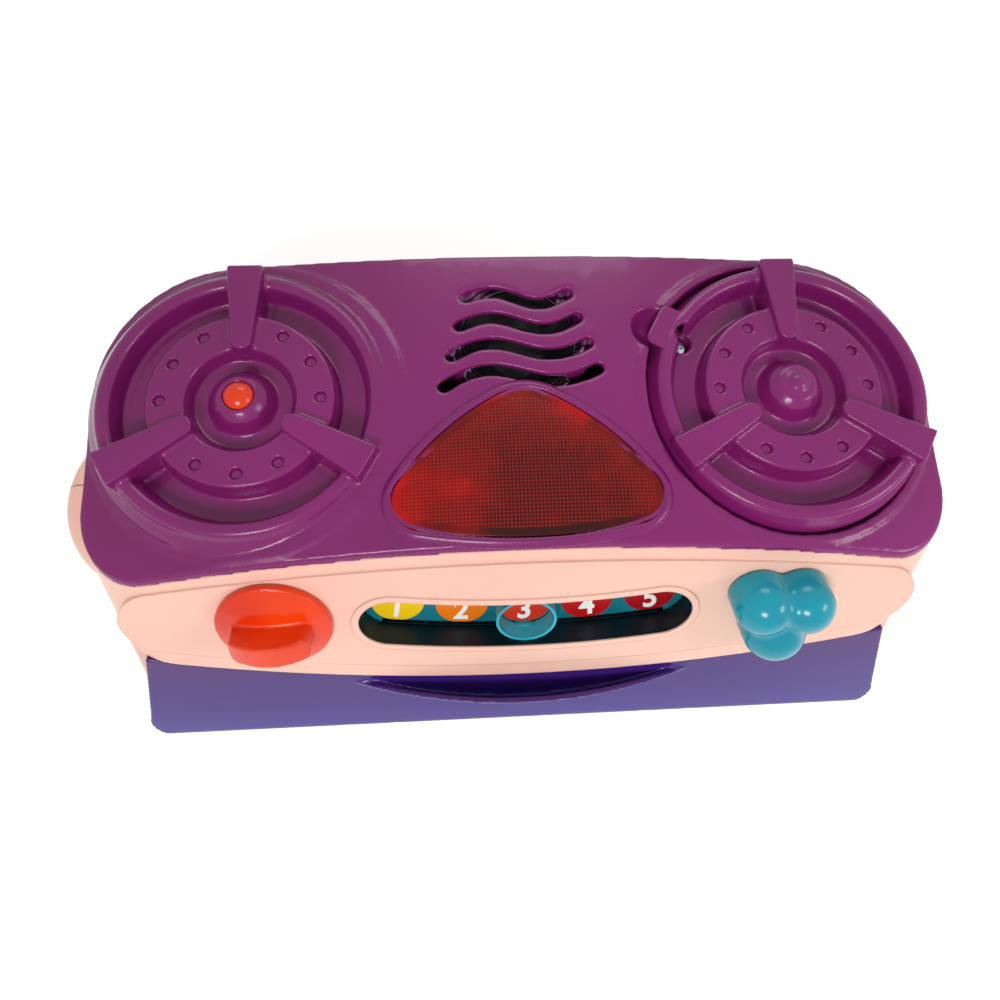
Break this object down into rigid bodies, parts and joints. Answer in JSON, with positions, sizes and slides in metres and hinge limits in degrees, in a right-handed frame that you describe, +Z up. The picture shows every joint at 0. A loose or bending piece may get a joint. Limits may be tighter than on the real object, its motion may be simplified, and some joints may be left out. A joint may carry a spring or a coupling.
{
  "type": "toy oven",
  "caption": "Tabletop toy oven: dished hob with pan burners, red signal lens and speaker slots, sloped fascia with knobs and a number slider, drop-down oven door.",
  "frame": {"origin": "on the table under the point midway between the two burner centres", "axes": "+X to the right as a child faces the control fascia, +Y towards the back, +Z up"},
  "size_m": [0.315, 0.1634, 0.1009],
  "materials": {
    "hob_plum": "glossy moulded ABS",
    "chromed_steel": "chromed cross-head screw",
    "inner_black": "matt black",
    "cell_jacket": "printed steel jacket",
    "spring_steel": "bright drawn steel",
    "lens_red": "tinted clear polystyrene",
    "inner_white": "satin white",
    "bulb_glass": "clear glass",
    "speaker_steel": "plated steel",
    "knob_orange": "glossy moulded ABS",
    "body_pink": "satin gloss moulded ABS",
    "door_violet": "translucent tinted polystyrene",
    "knob_teal": "glossy moulded ABS",
    "contact_brass": "bright spring brass",
    "tray_teal": "satin dark teal",
    "label_print": "printed film",
    "label_discs": "printed film",
    "board_green": "solder resist",
    "lead_red": "stranded wire in PVC"
  },
  "bodies": {
    "housing": {"hob_top": "hob_plum", "battery_box": "inner_black", "battery_cells": "cell_jacket", "battery_contacts": "spring_steel", "signal_lens": "lens_red", "lamp_reflector": "inner_white", "lamp_bulb": "bulb_glass", "lamp_holder": "inner_black", "speaker": "speaker_steel", "speaker_cone": "inner_black", "speaker_clamp": "inner_black", "pan_button_spring": "spring_steel", "button_retainer": "inner_black", "pan_switch": "inner_black", "front_housing": "body_pink", "rear_housing": "body_pink", "base_plate": "body_pink", "oven_liner": "inner_white", "door_hinge_pins": "spring_steel", "cam_leaf_springs": "spring_steel", "slider_tray": "tray_teal", "number_label": "label_print", "number_discs": "label_discs", "front_board": "board_green", "main_board": "board_green", "board_components": "inner_black", "battery_leads": "lead_red", "speaker_leads": "lead_red", "lamp_leads": "lead_red", "hob_screws": "spring_steel", "base_screws": "spring_steel", "retainer_screws": "spring_steel", "board_screws": "spring_steel", "board_leads": "lead_red", "switch_leads": "lead_red"},
    "oven_door": {"oven_door": "door_violet"},
    "oven_knob": {"oven_knob": "knob_orange", "oven_knob_cam": "inner_white", "oven_knob_screw": "spring_steel"},
    "clover_knob": {"clover_knob": "knob_teal", "clover_knob_cam": "inner_white", "clover_knob_screw": "spring_steel"},
    "number_slider": {"slider_ring": "knob_teal", "slider_wiper": "contact_brass"},
    "pan_button": {"pan_button": "knob_orange"},
    "battery_cover": {"battery_cover": "hob_plum"},
    "battery_cover_screw": {"battery_cover_screw": "chromed_steel"}
  },
  "joints": [
    {"name": "oven_door_hinge", "type": "hinge", "parent": "housing", "child": "oven_door", "pos_m": [0, -0.1028, 0.00377], "axis": [1, 0, 0], "range_deg": [0, 95]},
    {"name": "oven_knob_turn", "type": "hinge", "parent": "housing", "child": "oven_knob", "pos_m": [-0.0888, -0.0704, 0.0643], "axis": [0, -0.848, 0.5299], "range_deg": [-90, 90]},
    {"name": "clover_knob_turn", "type": "hinge", "parent": "housing", "child": "clover_knob", "pos_m": [0.0888, -0.0704, 0.0643], "axis": [0, -0.848, 0.5299], "continuous": true},
    {"name": "number_slide", "type": "hinge", "parent": "housing", "child": "number_slider", "pos_m": [0, 0.08354, 0.31066], "axis": [0, -0.848, 0.5299], "range_deg": [-9, 9]},
    {"name": "pan_button_press", "type": "slide", "parent": "housing", "child": "pan_button", "axis": [0, 0, -1], "range_m": [0, 0.003], "stiffness_N_per_m": 300, "springref_m": -0.001, "deforming": ["pan_button_spring"]},
    {"name": "battery_cover_lift", "type": "slide", "parent": "housing", "child": "battery_cover", "axis": [0, 0, 1], "range_m": [0, 0.03]},
    {"name": "battery_screw_lift", "type": "slide", "parent": "battery_cover", "child": "battery_cover_screw", "axis": [0, 0, 1], "range_m": [0, 0.02]}
  ]
}
